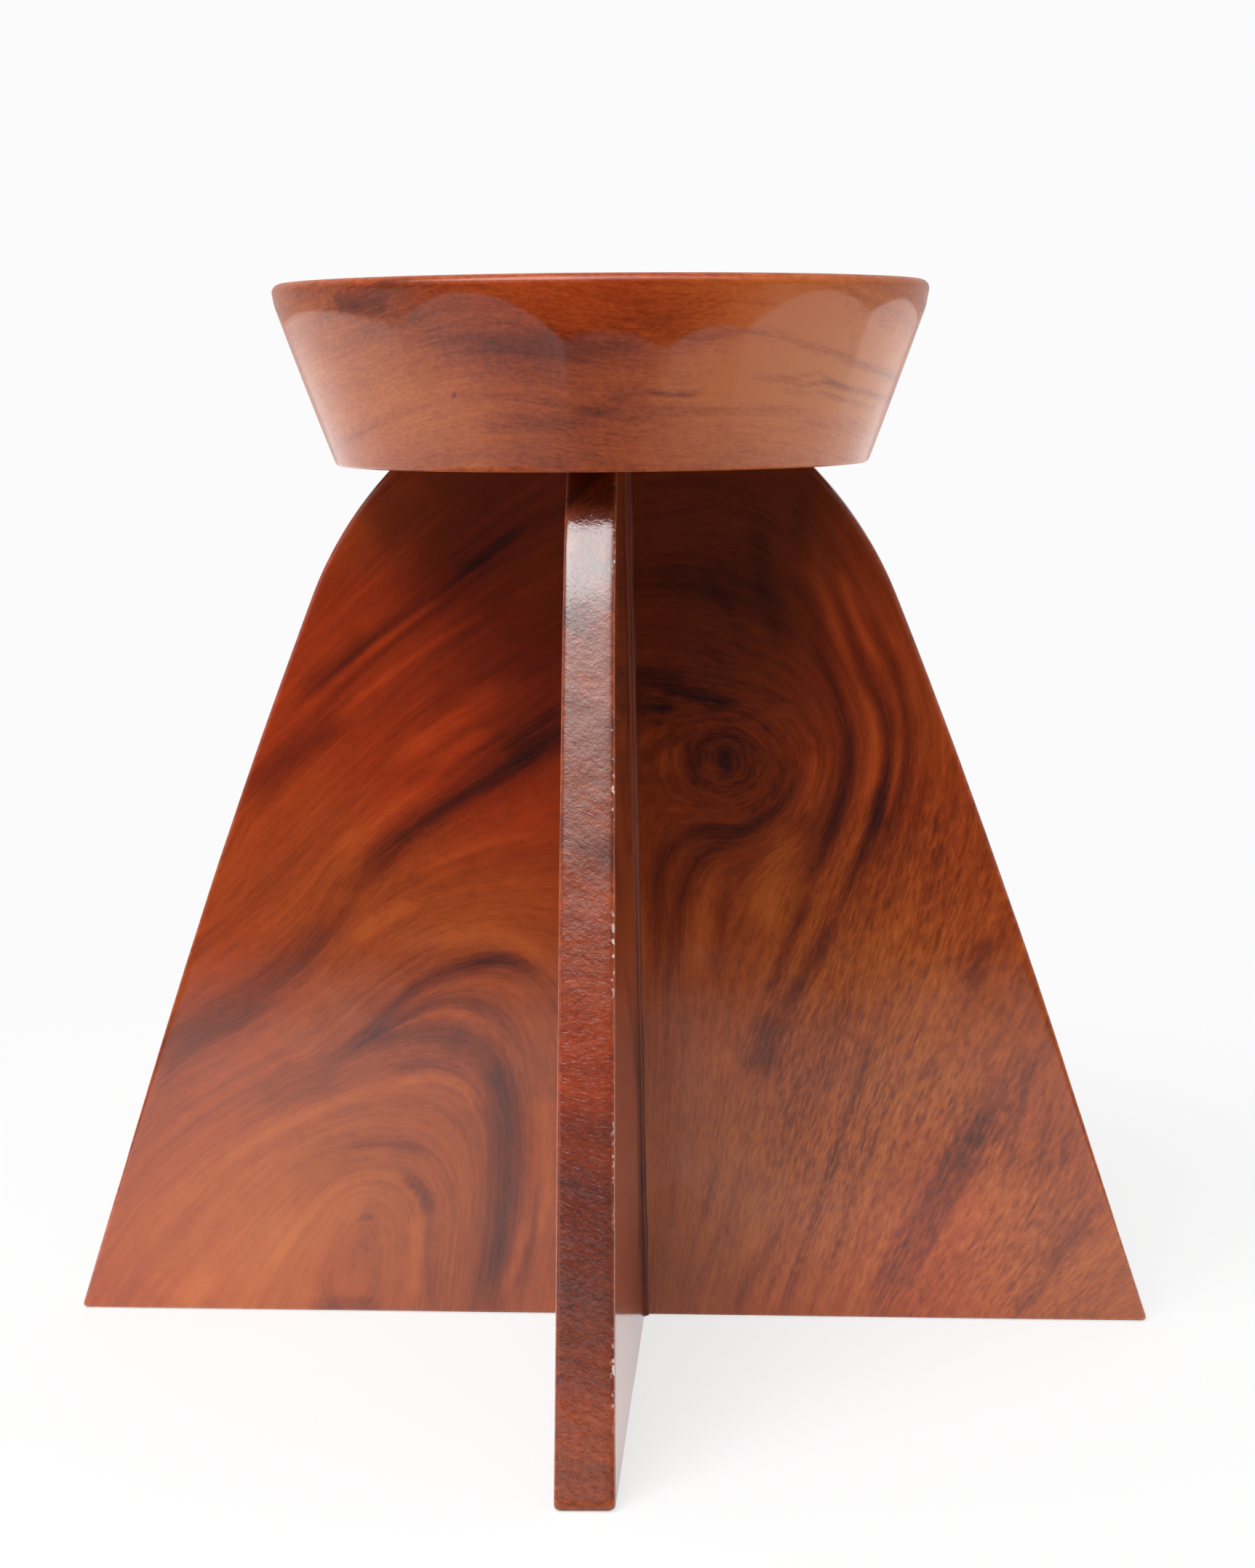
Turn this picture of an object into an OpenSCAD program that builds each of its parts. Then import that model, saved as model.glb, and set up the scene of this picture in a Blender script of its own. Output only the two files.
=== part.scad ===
// Round seat on two crossed planks.
// The planks halve into each other in the middle. Their tops stand in a
// cross-shaped housing under the seat, where glued dowels hold them.
// Millimetres, +Z up. The origin is on the floor, under the middle of the base.

/* [Base] */
// Length of each plank along the floor
base_l = 460; // [450:2:500]
// Height of the planks, from the floor to the seat's underside
leg_h = 364; // [340:1:376]
// Thickness of the planks at the floor
foot_t = 22.4; // [21:0.2:26]
// Thickness of the planks under the seat
top_t = 19.8; // [18:0.2:21]

/* [Plank outline] */
// Inward slope of the straight foot, degrees from upright
foot_slope = 18.1; // [17.6:0.1:18.6]
// Share of the height at which the straight foot turns into the long, slow curve
straight_share = 0.31; // [0.2:0.01:0.4]
// Radius of the long curve
sweep_r = 3330; // [2800:10:4000]
// Drop from the seat to where the long curve turns into the shoulder
shoulder_drop = 55; // [48:1:62]
// Radius of the shoulder, which runs up to the seat
shoulder_r = 163; // [155:1:175]

/* [Set of the lengthwise plank] */
// Sideways shift of its foot from the middle
along_shift = 4.5; // [-5:0.5:5]
// Lean from upright, degrees
along_lean = 0.5; // [-0.7:0.1:0.7]
// Turn away from square with the other plank, degrees
along_turn = 0.6; // [-0.8:0.1:0.8]

/* [Seat] */
// Thickness of the seat at its rim
seat_h = 74; // [73:1:80]
// Radius of the seat's flat underside
seat_foot_r = 110; // [108:1:116]
// Radius of the upright band below the rim
seat_lip_r = 135.3; // [134:0.1:137]
// Height above the underside where the sloping side would meet the upright band
seat_lip_h = 62; // [56:1:63]
// Radius of the blend from the sloping side to the upright band
lip_blend_r = 29; // [20:1:32]
// Rounding of the rim's outer edge
rim_round = 4.5; // [3:0.5:5]
// Rounding of the underside's edge
under_round = 2.5; // [1:0.5:4]
// Radius of the hollow in the top
dish_r = 123; // [110:1:124]
// Depth of the hollow in the middle
dish_depth = 16; // [10:1:20]

/* [Joints] */
// Share of the planks' height at which they halve into each other
lap_share = 0.5; // [0.35:0.01:0.65]
// Height of the stub tenons on the planks
tenon_h = 8; // [6:1:10]
// Shoulder left at each end of a stub tenon
tenon_inset = 9.5; // [7:0.5:12]
// Gap all round a joint, for glue
joint_gap = 0.15; // [0.1:0.05:0.3]
// Diameter of the dowels
dowel_d = 10; // [8:1:11]
// Length of the dowels, half in the plank and half in the seat
dowel_l = 50; // [40:2:56]
// Distance of the inner dowels from the middle
dowel_inner = 34; // [30:1:40]
// Distance of the outer dowels from the middle
dowel_outer = 62; // [56:1:64]

/* [Hidden] */
$fn = 96;
slop = 1;
bore_d = dowel_d + 0.1;
bore_l = dowel_l + 2;
dowel_chamfer = 1.5;
lap_h = leg_h * lap_share;
lap_reach = 2 * foot_t;
foot_half = base_l / 2;
straight_h = leg_h * straight_share;
straight_half = foot_half - straight_h * tan(foot_slope);
sweep_x = straight_half - sweep_r * cos(foot_slope);
sweep_z = straight_h - sweep_r * sin(foot_slope);
shoulder_h = leg_h - shoulder_drop;
shoulder_slope = asin((shoulder_h - sweep_z) / sweep_r);
shoulder_x = sweep_x + (sweep_r - shoulder_r) * cos(shoulder_slope);
shoulder_z = sweep_z + (sweep_r - shoulder_r) * sin(shoulder_slope);
top_half = shoulder_x + sqrt(pow(shoulder_r, 2) - pow(leg_h - shoulder_z, 2));
tenon_l = 2 * (top_half - tenon_inset);
tenon_top = leg_h + tenon_h;
seat_top = leg_h + seat_h;
dish_ball_r = (pow(dish_r, 2) + pow(dish_depth, 2)) / (2 * dish_depth);
seat_brown = [0.58, 0.27, 0.13];
plank_brown = [0.42, 0.15, 0.08];
dowel_brown = [0.76, 0.6, 0.4];

// Half the thickness of a plank at height z.
function half_t(z) = (foot_t + (top_t - foot_t) * z / leg_h) / 2;

// Unit vector from one point to another.
function towards(from, to) = (to - from) / norm(to - from);

// Distance from a corner to where its rounding starts.
function run_in(before, corner, after, radius) =
    radius / tan(acos(towards(corner, before) * towards(corner, after)) / 2);

// Convex outline with its corners rounded by true arcs. A radius of 0 keeps a corner sharp.
module rounded_outline(points, radii) {
    last = len(points) - 1;
    function before(i) = points[i == 0 ? last : i - 1];
    function after(i) = points[i == last ? 0 : i + 1];
    function run(i) = run_in(before(i), points[i], after(i), radii[i]);
    function start(i) = points[i] + towards(points[i], before(i)) * run(i);
    function end(i) = points[i] + towards(points[i], after(i)) * run(i);
    polygon([for (i = [0 : last]) each radii[i] > 0 ? [start(i), end(i)] : [points[i]]]);
    for (i = [0 : last]) {
        if (radii[i] > 0) {
            inwards = start(i) + end(i) - 2 * points[i];
            reach = sqrt(pow(radii[i], 2) + pow(run(i), 2));
            centre = points[i] + inwards / norm(inwards) * reach;
            intersection() {
                translate(centre) circle(r = radii[i]);
                polygon([points[i], end(i), centre, start(i)]);
            }
        }
    }
}

// Stretch of the plank outline between two heights, bounded by one arc on each side.
module arc_band(z_low, z_high, centre_x, centre_z, radius) {
    intersection() {
        translate([-foot_half, z_low]) square([base_l, z_high - z_low]);
        translate([centre_x, centre_z]) circle(r = radius);
        translate([-centre_x, centre_z]) circle(r = radius);
    }
}

// Outline of a plank, a little too long at both ends, to be cut level afterwards.
module plank_outline() {
    spare_half = foot_half + slop * tan(foot_slope);
    polygon([
        [-spare_half, -slop],
        [spare_half, -slop],
        [straight_half, straight_h],
        [-straight_half, straight_h]
    ]);
    arc_band(straight_h, shoulder_h, sweep_x, sweep_z, sweep_r);
    arc_band(shoulder_h, leg_h + slop, shoulder_x, shoulder_z, shoulder_r);
}

// Board lying along X between two heights, tapering in thickness, and grown by a gap.
module board(length, z_low, z_high, gap = 0) {
    low_half = half_t(z_low) + gap;
    high_half = half_t(z_high) + gap;
    rotate([90, 0, 90])
        linear_extrude(height = length, center = true)
            polygon([
                [-low_half, z_low],
                [low_half, z_low],
                [high_half, z_high],
                [-high_half, z_high]
            ]);
}

// Stub tenon along the top of a plank, or its housing when a gap is given.
module tenon(gap = 0) {
    translate([0, 0, leg_h + (tenon_h + gap - slop) / 2])
        cube([tenon_l + 2 * gap, top_t + 2 * gap, tenon_h + gap + slop], center = true);
}

// Puts what is made along X where the lengthwise plank stands.
module lengthwise() {
    translate([along_shift, 0, 0])
        rotate([0, -along_lean, 0])
            rotate([0, 0, 90 + along_turn])
                children();
}

// The dowel places of one plank, on its own centre line.
module at_dowels() {
    for (side = [-1, 1], reach = [dowel_inner, dowel_outer]) {
        translate([side * reach, 0, tenon_top]) children();
    }
}

module dowel() {
    barrel_l = dowel_l - 2 * dowel_chamfer;
    cylinder(d = dowel_d, h = barrel_l, center = true);
    for (end = [0, 1]) {
        mirror([0, 0, end])
            translate([0, 0, barrel_l / 2])
                cylinder(d1 = dowel_d, d2 = dowel_d - 2 * dowel_chamfer, h = dowel_chamfer);
    }
}

module dowel_bores() {
    at_dowels() cylinder(d = bore_d, h = bore_l, center = true);
}

// Plank along X, shaped on its outline and its thickness.
module shaped_board() {
    intersection() {
        rotate([90, 0, 0])
            linear_extrude(height = foot_t + slop, center = true) plank_outline();
        board(base_l + 2 * slop, -slop, leg_h + slop);
    }
}

// Everything between the floor and the seat's underside.
module level_space() {
    translate([-base_l, -base_l, 0]) cube([2 * base_l, 2 * base_l, leg_h]);
}

module plank_across() {
    color(plank_brown)
        difference() {
            union() {
                intersection() {
                    shaped_board();
                    level_space();
                }
                tenon();
            }
            dowel_bores();
            lengthwise() board(lap_reach, -slop, lap_h + joint_gap, joint_gap);
        }
}

module plank_along() {
    color(plank_brown)
        difference() {
            union() {
                intersection() {
                    lengthwise() shaped_board();
                    level_space();
                }
                lengthwise() tenon();
            }
            lengthwise() dowel_bores();
            board(lap_reach, lap_h, tenon_top + slop, joint_gap);
        }
}

module seat_profile() {
    rounded_outline(
        [
            [0, 0],
            [seat_foot_r, 0],
            [seat_lip_r, seat_lip_h],
            [seat_lip_r, seat_h],
            [0, seat_h]
        ],
        [0, under_round, lip_blend_r, rim_round, 0]
    );
}

module seat() {
    color(seat_brown)
        difference() {
            translate([0, 0, leg_h]) rotate_extrude() seat_profile();
            translate([0, 0, seat_top - dish_depth + dish_ball_r]) sphere(r = dish_ball_r);
            tenon(joint_gap);
            dowel_bores();
            lengthwise() {
                tenon(joint_gap);
                dowel_bores();
            }
        }
}

module seat_dowels() {
    color(dowel_brown) {
        at_dowels() dowel();
        lengthwise() at_dowels() dowel();
    }
}

seat();
plank_across();
plank_along();
seat_dowels();
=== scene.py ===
"""Carved stool: a round dished seat on two crossed planks, in glossy figured hardwood."""

import math

import bmesh
import bpy
import numpy as np
from mathutils import Matrix, Vector, noise


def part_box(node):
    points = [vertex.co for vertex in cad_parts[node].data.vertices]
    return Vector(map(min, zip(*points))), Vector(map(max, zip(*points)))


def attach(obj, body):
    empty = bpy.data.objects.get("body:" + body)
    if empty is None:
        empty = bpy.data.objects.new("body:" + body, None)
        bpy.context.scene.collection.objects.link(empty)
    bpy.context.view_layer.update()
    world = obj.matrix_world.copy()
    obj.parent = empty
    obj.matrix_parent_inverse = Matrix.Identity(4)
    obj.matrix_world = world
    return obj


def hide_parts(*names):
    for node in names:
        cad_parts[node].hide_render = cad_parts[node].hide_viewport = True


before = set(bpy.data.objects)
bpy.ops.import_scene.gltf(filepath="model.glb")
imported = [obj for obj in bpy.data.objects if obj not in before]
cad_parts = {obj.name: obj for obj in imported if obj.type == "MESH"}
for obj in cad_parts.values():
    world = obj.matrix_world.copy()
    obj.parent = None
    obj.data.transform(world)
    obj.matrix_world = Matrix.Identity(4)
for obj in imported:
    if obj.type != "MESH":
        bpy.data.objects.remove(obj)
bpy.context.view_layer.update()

# ---------- sizes, in metres

MM = 0.001
SEAT_LOW, SEAT_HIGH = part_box("seat")
ACROSS_LOW, ACROSS_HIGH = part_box("plank_across")

LEG_H = SEAT_LOW.z
FOOT_HALF = ACROSS_HIGH.x
FOOT_T = ACROSS_HIGH.y - ACROSS_LOW.y
TOP_T = 19.8 * MM
EDGE_ROUND = 2.0 * MM
LAP_H = LEG_H / 2
JOINT_GAP = 0.15 * MM
TENON_TOP = ACROSS_HIGH.z
TENON_INSET = 9.5 * MM

# Outline of the planks: a straight foot, a long curve and a shoulder.
FOOT_SLOPE = math.radians(18.1)
STRAIGHT_H = 0.31 * LEG_H
SWEEP_R = 3330 * MM
SHOULDER_H = LEG_H - 55 * MM
SHOULDER_R = 163 * MM

# How the lengthwise plank stands.
ALONG_SHIFT = 4.5 * MM
ALONG_LEAN = math.radians(0.5)
ALONG_TURN = math.radians(0.6)

SEAT_H = SEAT_HIGH.z - SEAT_LOW.z
SEAT_LIP_R = (SEAT_HIGH.x - SEAT_LOW.x) / 2
SEAT_FOOT_R = 110 * MM
RIM_ROUND = 4.5 * MM
UNDER_ROUND = 2.5 * MM
DISH_R = 123 * MM
DISH_DEPTH = 16 * MM

# Dowel holes, and how far from the middle they are.
BORE_D = 10.1 * MM
BORE_L = 52 * MM
DOWEL_REACHES = (34 * MM, 62 * MM)

UNMOVED = Matrix.Identity(4)
ACROSS_PLACE = UNMOVED
ALONG_PLACE = (
    Matrix.Translation((ALONG_SHIFT, 0, 0))
    @ Matrix.Rotation(-ALONG_LEAN, 4, "Y")
    @ Matrix.Rotation(math.pi / 2 + ALONG_TURN, 4, "Z")
)

# ---------- wood figure

# Growth lines of the crosswise plank's front face, in millimetres from the foot of its middle.
# Each is its level across the grain and the points that it passes through.
ARCH_LINES = (
    (0, (-103, 45)),
    (16, (-160, 2), (-146, 24), (-130, 45), (-116, 59), (-100, 63), (-88, 60), (-80, 50), (-78, 36),
        (-80, 2)),
    (30, (-186, 2), (-172, 20), (-156, 38), (-138, 57), (-120, 69), (-98, 74), (-80, 72), (-70, 62),
        (-66, 46), (-68, 24), (-71, 2)),
    (42, (-206, 6), (-190, 26), (-172, 45), (-152, 64), (-128, 81), (-105, 89), (-84, 90), (-68, 84),
        (-60, 72), (-58, 52), (-61, 26), (-64, 2)),
    (54, (-209, 28), (-190, 48), (-168, 68), (-142, 86), (-112, 99), (-88, 106), (-70, 107), (-57, 100),
        (-51, 86), (-50, 62), (-53, 30), (-58, 2)),
    (66, (-206, 46), (-184, 67), (-158, 86), (-130, 101), (-104, 113), (-84, 119), (-66, 120), (-52, 114),
        (-45, 98), (-42, 70), (-45, 34), (-51, 2)),
    (78, (-208, 46), (-190, 62), (-168, 79), (-142, 95), (-118, 110), (-98, 123), (-78, 134), (-60, 137),
        (-46, 131), (-37, 117), (-33, 92), (-34, 58), (-38, 26), (-43, 2)),
    (92, (-206, 52), (-188, 70), (-168, 86), (-142, 101), (-120, 111), (-103, 125), (-86, 141), (-68, 151),
        (-48, 156), (-34, 154), (-22, 145), (-13, 128), (-10, 98), (-14, 58), (-22, 22), (-27, 2)),
    (104, (-203, 68), (-184, 86), (-162, 101), (-138, 115), (-116, 130), (-98, 145), (-80, 157), (-60, 165),
        (-38, 167), (-18, 162), (-4, 148), (1, 118), (-2, 74), (-9, 32), (-14, 2)),
    (120, (-198, 92), (-180, 107), (-158, 119), (-136, 133), (-116, 149), (-98, 164), (-78, 177),
        (-56, 185), (-34, 189), (-12, 189), (4, 180), (11, 158), (11, 112), (7, 60), (2, 2)),
    (130, (-198, 100), (-182, 114), (-162, 128), (-142, 140), (-124, 154), (-108, 172), (-90, 188),
        (-68, 202), (-42, 214), (-16, 221), (4, 219), (15, 206), (18, 180), (17, 130), (13, 70), (9, 2)),
)
BAND_LINES = (
    (140, (-197, 108), (-182, 124), (-166, 132), (-150, 141), (-134, 153), (-120, 170), (-104, 190),
        (-86, 208), (-64, 222), (-40, 238), (-20, 250), (2, 263), (18, 270), (40, 266), (62, 262),
        (76, 250), (81, 236), (74, 221), (60, 211), (42, 211), (28, 205), (22, 190), (22, 150), (19, 70),
        (15, 2)),
    (152, (-190, 122), (-172, 142), (-154, 153), (-138, 164), (-126, 177), (-114, 194), (-98, 211),
        (-80, 226), (-60, 238), (-38, 250), (-14, 265), (8, 277), (34, 277), (60, 271), (80, 261),
        (89, 244), (86, 228), (76, 213), (60, 205), (46, 204), (37, 195), (33, 178), (32, 140), (28, 70),
        (22, 2)),
    (165, (-179, 152), (-164, 166), (-148, 178), (-132, 193), (-118, 207), (-102, 223), (-84, 241),
        (-62, 255), (-38, 268), (-14, 284), (12, 294), (40, 293), (66, 283), (86, 270), (96, 252),
        (95, 233), (87, 214), (74, 201), (62, 190), (53, 172), (47, 148), (42, 100), (36, 50), (28, 2)),
    (180, (-168, 172), (-152, 191), (-136, 207), (-120, 223), (-102, 240), (-84, 257), (-62, 274),
        (-40, 288), (-16, 301), (10, 312), (38, 313), (62, 305), (80, 293), (95, 272), (102, 250),
        (101, 228), (93, 207), (83, 186), (74, 162), (64, 136), (56, 106), (49, 66), (40, 26), (34, 2)),
)
HOOK_LINES = (
    (192, (-158, 194), (-142, 213), (-124, 232), (-106, 250), (-86, 270), (-64, 288), (-42, 303),
        (-16, 318), (12, 328), (40, 332), (64, 327), (82, 312), (96, 290), (107, 268), (112, 246),
        (110, 224), (103, 200), (92, 170), (78, 140), (68, 112), (59, 74), (50, 34), (42, 2)),
    (199, (-152, 216), (-134, 234), (-116, 250), (-96, 270), (-76, 290), (-52, 307), (-28, 322), (2, 336),
        (34, 343), (62, 341), (82, 326), (98, 301), (111, 274), (118, 254), (118, 236), (112, 212),
        (101, 184), (88, 150), (76, 116), (66, 76), (56, 36), (48, 2)),
    (206, (-148, 228), (-130, 247), (-110, 264), (-90, 283), (-68, 302), (-44, 319), (-18, 335), (12, 347),
        (46, 352), (74, 343), (92, 322), (105, 300), (116, 280), (123, 258), (122, 234), (115, 208),
        (104, 174), (92, 138), (82, 104), (72, 66), (60, 26), (54, 2)),
    (214, (-142, 244), (-124, 262), (-104, 281), (-84, 299), (-62, 317), (-38, 334), (-10, 350), (24, 361),
        (64, 360), (86, 345), (100, 324), (112, 300), (122, 278), (128, 256), (127, 234), (120, 205),
        (108, 168), (97, 132), (88, 100), (78, 64), (66, 26), (60, 2)),
    (226, (-136, 258), (-118, 276), (-98, 295), (-76, 314), (-52, 333), (-28, 350), (-10, 362)),
    (226, (95, 360), (108, 337), (120, 312), (131, 284), (138, 258), (136, 232), (128, 198), (117, 160),
        (105, 122), (94, 86), (84, 54), (74, 22), (68, 2)),
    (240, (-124, 284), (-106, 301), (-84, 322), (-60, 343), (-36, 362)),
    (240, (128, 312), (140, 284), (148, 256), (150, 232), (144, 200), (133, 164), (121, 130), (108, 90),
        (96, 56), (84, 22), (78, 2)),
    (256, (-112, 318), (-92, 337), (-64, 362)),
    (256, (163, 210), (153, 176), (139, 140), (126, 106), (114, 74), (101, 36), (90, 2)),
    (268, (172, 178), (160, 146), (146, 114), (134, 86), (121, 54), (108, 22), (100, 2)),
    (278, (180, 152), (168, 122), (154, 92), (142, 66), (130, 40), (119, 16), (112, 2)),
    (290, (188, 128), (178, 104), (166, 78), (154, 54), (140, 28), (127, 2)),
    (304, (196, 104), (186, 78), (174, 54), (160, 28), (144, 2)),
    (320, (206, 72), (194, 48), (178, 24), (162, 2)),
    (338, (216, 42), (202, 24), (184, 2)),
    (356, (225, 12), (212, 2)),
)
EYE_LINES = (
    (114, (51, 241)),
    (124, (38, 240), (44, 251), (56, 252), (65, 242), (58, 230), (44, 230)),
    (132, (12, 240), (20, 252), (40, 259), (60, 257), (72, 242), (64, 224), (44, 219), (24, 222)),
)

# Dark (positive) and light (negative) streaks on the crosswise plank's front face: strength, half width
# and the points that each runs through, in millimetres.
LEFT_STREAKS = (
    (0.75, 5, (-108, 187), (-98, 196), (-86, 207), (-72, 217), (-60, 225), (-36, 239), (-8, 255)),
    (0.4, 7, (-42, 243), (-30, 250), (-12, 260)),
    (0.45, 8, (-198, 106), (-182, 121), (-166, 131), (-150, 141), (-136, 151), (-124, 163), (-112, 180)),
    (0.25, 3, (-192, 104), (-174, 119), (-156, 128), (-140, 138)),
    (0.5, 3, (-122, 109), (-108, 118), (-98, 127), (-88, 137), (-78, 145), (-66, 151), (-52, 155),
        (-38, 155), (-24, 145)),
    (0.3, 3, (-58, 154), (-46, 156), (-34, 154)),
    (0.35, 3.5, (-112, 112), (-100, 120), (-86, 129), (-72, 136), (-58, 137), (-46, 131), (-38, 120)),
    (0.6, 7, (-62, 120), (-52, 116), (-45, 104), (-42, 85), (-42, 65), (-44, 45), (-48, 25), (-54, 2)),
    (0.3, 6, (-100, 118), (-84, 124), (-70, 123), (-58, 119)),
    (0.25, 2.5, (-92, 106), (-80, 110), (-68, 110), (-60, 106)),
    (0.6, 2.5, (-88, 61), (-82, 57), (-78, 52), (-77, 44)),
    (0.25, 1.5, (-77, 42), (-78, 24), (-79, 4)),
    (0.5, 2, (-106, 43), (-102, 44)),
    (0.4, 1.5, (-101, 49), (-99, 49)),
    (0.25, 3, (-112, 72), (-100, 75), (-86, 74), (-78, 70)),
    (0.3, 1.8, (-42, 6), (-36, 22), (-31, 42), (-28, 62)),
    (0.25, 3, (-130, 2), (-112, 4), (-95, 2)),
    (0.2, 8, (-150, 92), (-130, 100), (-112, 106)),
    (0.35, 1.5, (-132, 262), (-112, 279), (-95, 292), (-80, 303), (-66, 313), (-50, 325), (-22, 346)),
    (0.25, 1.2, (-118, 264), (-100, 280), (-84, 293), (-66, 306), (-48, 320), (-28, 332)),
    (0.35, 6, (-148, 222), (-136, 238), (-122, 248), (-108, 262)),
    (0.3, 5, (-128, 270), (-112, 282), (-98, 296)),
    (0.3, 2, (-60, 234), (-46, 243), (-32, 253), (-16, 264)),
    (0.25, 1.2, (-70, 232), (-54, 243), (-38, 256), (-20, 270)),
    (0.3, 3, (-62, 318), (-48, 328), (-34, 338)),
    (-0.35, 1.3, (-112, 258), (-100, 269), (-88, 278), (-75, 287), (-62, 296), (-50, 302)),
    (-0.3, 1.3, (-104, 282), (-92, 291), (-80, 300), (-70, 308)),
    (-0.35, 5, (-88, 240), (-76, 249), (-64, 257), (-52, 266), (-38, 274)),
    (-0.3, 3, (-72, 236), (-60, 246), (-48, 254)),
    (-0.3, 4, (-112, 200), (-98, 213), (-84, 224), (-70, 232)),
    (-0.25, 4, (-108, 163), (-92, 174), (-78, 181)),
    (-0.25, 1.6, (-80, 192), (-64, 200), (-46, 206), (-24, 212)),
    (-0.3, 4, (-74, 161), (-56, 166), (-38, 164), (-24, 157)),
    (-0.35, 4, (-31, 35), (-27, 55), (-26, 75), (-27, 98)),
    (-0.3, 3, (-46, 8), (-40, 24), (-35, 42)),
    (-0.3, 1.5, (-96, 123), (-80, 130), (-66, 133), (-54, 128)),
    (-0.3, 1.5, (-94, 99), (-80, 104), (-68, 104), (-60, 99), (-56, 90)),
    (-0.25, 1.5, (-110, 70), (-102, 71), (-92, 70)),
    (-0.2, 2, (-162, 68), (-140, 82), (-118, 92), (-100, 98)),
    (-0.25, 5, (-186, 2), (-172, 16)),
    (-0.2, 14, (-150, 20), (-120, 45), (-104, 55)),
    (-0.3, 2.5, (-82, 44), (-83, 25), (-85, 6)),
)
RIGHT_STREAKS = (
    (0.55, 4, (8, 277), (26, 274), (42, 267), (58, 263)),
    (0.45, 6, (6, 266), (18, 265), (32, 263)),
    (0.7, 6, (48, 241), (55, 241)),
    (0.2, 4, (40, 248), (37, 238), (41, 229)),
    (0.5, 2.5, (86, 294), (94, 278), (99, 265), (103, 250), (102, 235), (98, 220), (93, 206), (86, 190)),
    (0.7, 3, (98, 305), (103, 292), (108, 278), (114, 266), (118, 254), (119, 242), (117, 228), (113, 214),
        (105, 194), (98, 178)),
    (0.35, 4, (116, 228), (113, 214)),
    (0.5, 3, (97, 174), (91, 160), (84, 148), (76, 134)),
    (0.45, 3, (86, 184), (80, 168), (74, 152), (68, 140)),
    (0.5, 7, (72, 134), (68, 122), (64, 106)),
    (0.45, 2, (112, 300), (118, 288), (124, 272), (127, 256), (127, 242), (124, 226), (115, 198)),
    (0.2, 5, (66, 350), (66, 330), (68, 314), (72, 300), (79, 288)),
    (0.15, 3, (42, 320), (50, 310), (57, 298)),
    (0.2, 6, (84, 360), (84, 345), (80, 330)),
    (0.5, 3, (23, 140), (23, 175), (24, 195), (30, 206), (42, 211), (58, 211), (70, 218), (80, 231)),
    (0.45, 3.5, (28, 145), (31, 165), (33, 180), (37, 194), (45, 203), (57, 206)),
    (0.3, 2, (46, 146), (49, 165), (51, 180)),
    (0.3, 1.5, (58, 218), (68, 224), (74, 233), (76, 244)),
    (0.5, 10, (110, 2), (118, 16), (126, 30), (134, 45), (142, 60), (150, 74), (157, 86), (163, 100)),
    (0.3, 2, (126, 52), (134, 64), (141, 78)),
    (0.3, 2, (166, 60), (172, 80), (176, 100), (180, 118)),
    (0.25, 1.6, (180, 60), (185, 78), (188, 96)),
    (0.25, 1.6, (192, 66), (195, 85)),
    (0.3, 5, (186, 22), (198, 38), (208, 52)),
    (0.25, 3, (174, 2), (182, 14)),
    (0.3, 2.5, (41, 42), (45, 58), (48, 70)),
    (0.3, 2.5, (54, 2), (61, 16), (68, 28), (74, 40)),
    (0.35, 1.6, (66, 3), (71, 16), (79, 31), (86, 47), (98, 69)),
    (0.35, 1.4, (75, 2), (81, 22), (91, 54), (101, 86), (112, 122)),
    (0.3, 1.2, (88, 2), (99, 36), (112, 74), (124, 106), (136, 138)),
    (0.3, 1.6, (33, 2), (41, 22), (51, 44), (56, 66)),
    (0.3, 5, (152, 144), (157, 158), (160, 168)),
    (0.2, 12, (90, 96), (100, 120), (108, 140)),
    (-0.55, 3.5, (88, 322), (93, 308), (98, 296), (104, 283), (109, 272), (113, 260), (114, 248),
        (112, 232), (108, 214), (101, 194), (95, 180)),
    (-0.45, 2, (99, 320), (103, 308), (108, 295), (115, 281)),
    (-0.35, 2, (122, 252), (122, 236), (118, 218)),
    (-0.45, 8, (66, 168), (68, 184), (74, 198), (80, 212)),
    (-0.3, 5, (90, 244), (89, 230), (84, 218)),
    (-0.3, 6, (24, 244), (30, 236)),
    (-0.35, 1.5, (12, 272), (24, 269), (36, 265), (54, 262), (64, 266)),
    (-0.35, 3, (105, 8), (113, 24), (121, 40), (130, 56), (140, 74), (150, 90)),
    (-0.2, 9, (146, 30), (162, 48), (176, 60)),
    (-0.2, 10, (38, 132), (38, 110), (37, 88)),
    (-0.3, 4, (50, 118), (50, 106)),
    (-0.25, 3, (40, 152), (43, 180), (50, 192)),
    (-0.25, 2.5, (56, 22), (62, 36), (66, 48)),
    (-0.3, 1.6, (70, 6), (76, 20), (84, 40), (95, 68)),
    (-0.3, 1.4, (94, 8), (103, 32), (117, 72), (130, 104)),
    (-0.3, 1.6, (128, 8), (140, 28), (154, 54), (166, 78)),
)
# Where the wood turns redder (positive) or yellower (negative): middle, reach and amount.
TINTS = (
    (-125, 262, 60, 0.9), (-60, 290, 55, 1.0), (-175, 160, 45, 0.4), (-60, 172, 34, -0.4),
    (-40, 240, 45, 0.9), (-100, 60, 80, -0.4), (104, 290, 34, 0.5), (72, 190, 30, -0.5),
    (150, 215, 34, 0.2), (105, 110, 70, -0.7), (190, 30, 50, -0.6), (40, 50, 50, -0.5),
    (140, 50, 26, 0.5),
)
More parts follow.
